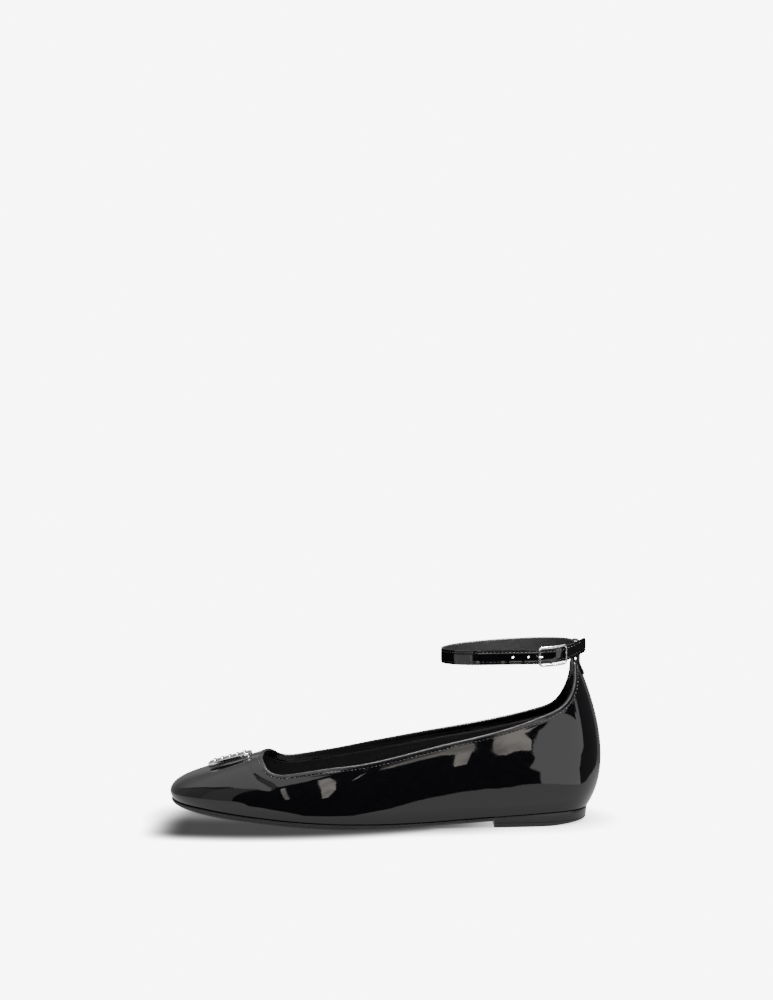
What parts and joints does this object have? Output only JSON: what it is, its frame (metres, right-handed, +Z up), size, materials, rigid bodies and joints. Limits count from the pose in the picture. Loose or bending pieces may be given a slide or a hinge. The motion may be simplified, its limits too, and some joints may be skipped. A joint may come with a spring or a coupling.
{
  "type": "ballet flat",
  "caption": "Left ballet flat with a hollow lasted upper, thin sole, low heel, buckled ankle strap through a heel tab, and a metal ornament on the vamp.",
  "frame": {"origin": "on the floor below the middle of the shoe's box", "axes": "+X toward the heel's back, -X toward the toe, -Y toward the outer side with the buckle, +Z up"},
  "size_m": [0.248, 0.0829, 0.1054],
  "materials": {
    "patent_leather": "black patent, mirror gloss",
    "sole_leather": "black sole leather with a waxed edge",
    "lining_leather": "matte black lining leather",
    "polished_metal": "polished silver-coloured metal",
    "black_enamel": "black enamel"
  },
  "bodies": {
    "root": {"upper": "patent_leather", "outsole": "sole_leather", "heel": "sole_leather", "insole": "lining_leather", "ankle_strap": "patent_leather", "back_loop": "patent_leather", "buckle_frame": "polished_metal", "buckle_prong": "polished_metal", "ornament_tray": "polished_metal", "ornament_enamel": "black_enamel", "ornament_bar_1": "polished_metal", "ornament_bar_2": "polished_metal", "ornament_bar_3": "polished_metal", "ornament_bar_4": "polished_metal", "ornament_bar_5": "polished_metal"}
  },
  "joints": []
}
